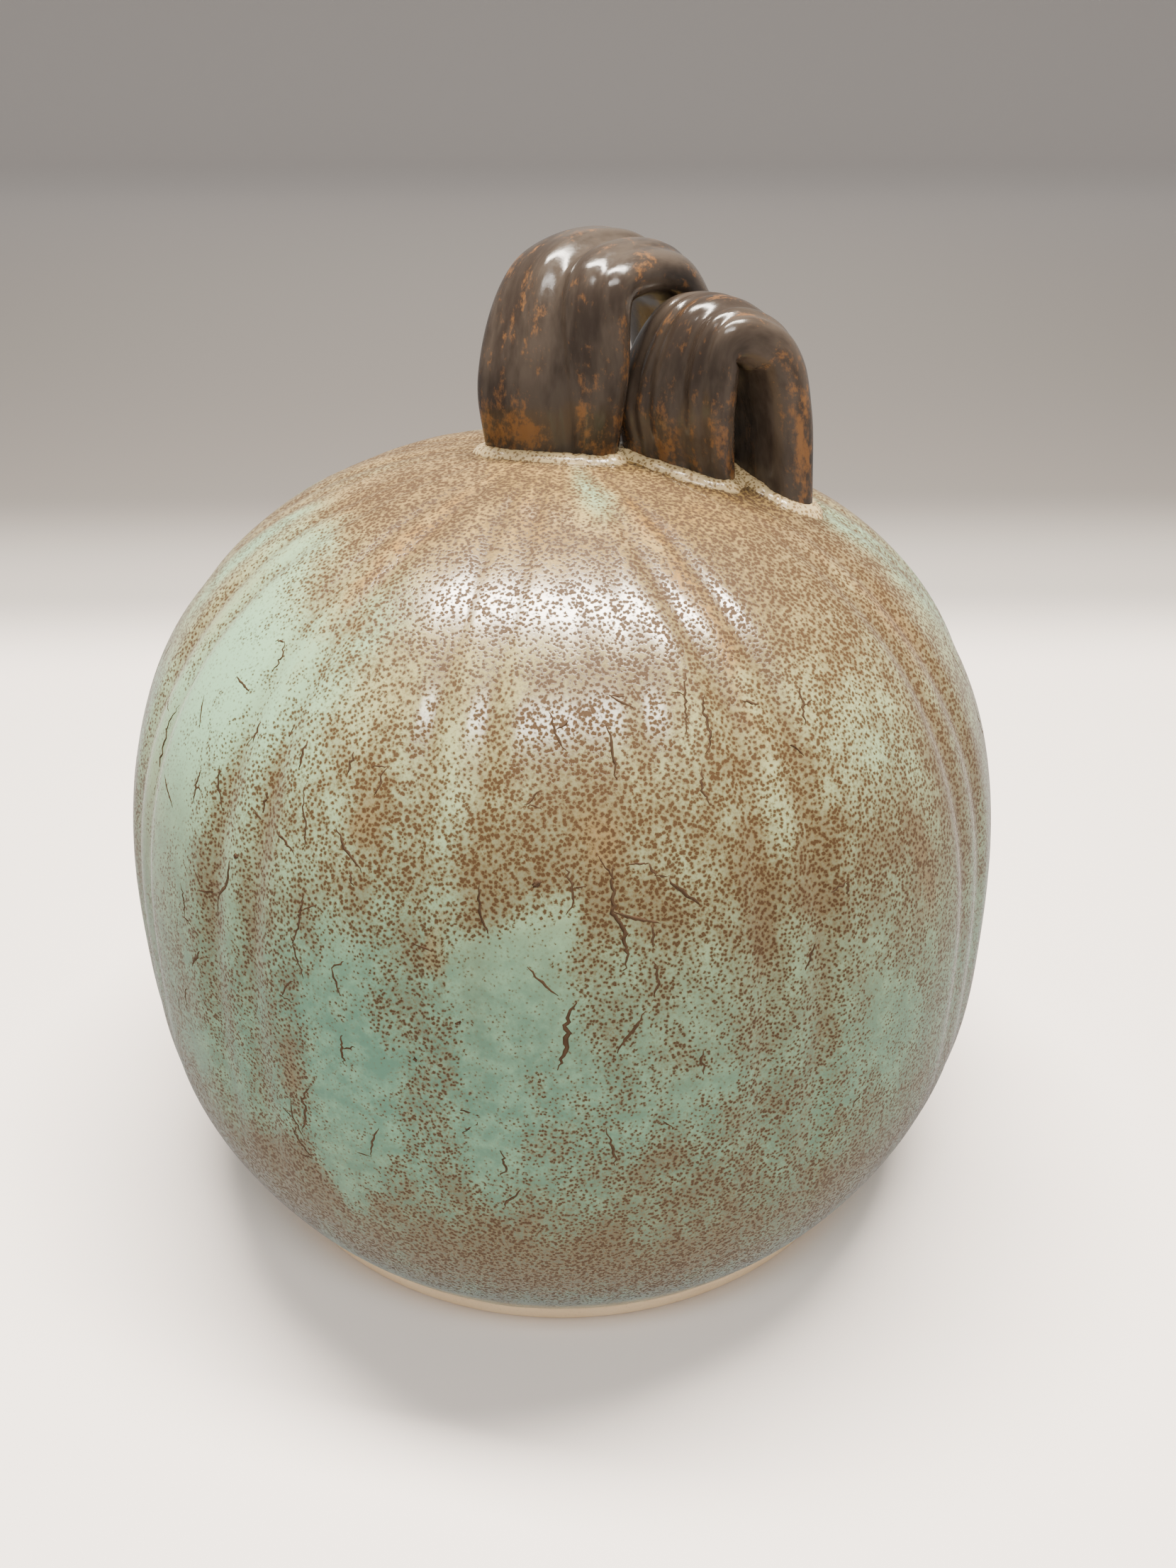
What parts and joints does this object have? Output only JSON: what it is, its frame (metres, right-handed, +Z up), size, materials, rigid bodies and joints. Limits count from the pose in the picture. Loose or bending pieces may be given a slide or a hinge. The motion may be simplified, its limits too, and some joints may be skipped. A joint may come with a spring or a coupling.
{
  "type": "ceramic pumpkin figure",
  "caption": "Hollow glazed stoneware pumpkin with pressed ribs, a flat bare foot ring and a stem of looped fluted clay straps.",
  "frame": {"origin": "centre of the foot ring, on the surface the figure stands on and on the axis the body was thrown on", "axes": "+Z up along the throwing axis, -Y towards the front of the figure, +X to the right seen from the front"},
  "size_m": [0.15, 0.1504, 0.1609],
  "materials": {
    "bare_stoneware": "fired cream stoneware, matt and faintly gritty, with fine turning rings",
    "turquoise_glaze": "semi-gloss turquoise glaze breaking into dense brown speckle, with brown clouds, tan shoulders and fine dark crackle",
    "dark_stem_glaze": "glossy brown-black glaze breaking rust on its flutes and edges",
    "slip_seam": "cream slip bead under clear glaze"
  },
  "bodies": {
    "root": {"stoneware_body": "bare_stoneware", "body_glaze": "turquoise_glaze", "large_stem_loop": "dark_stem_glaze", "small_stem_loop": "dark_stem_glaze", "large_loop_front_seam": "slip_seam", "large_loop_back_seam": "slip_seam", "small_loop_front_seam": "slip_seam", "small_loop_end_seam": "slip_seam"}
  },
  "joints": []
}
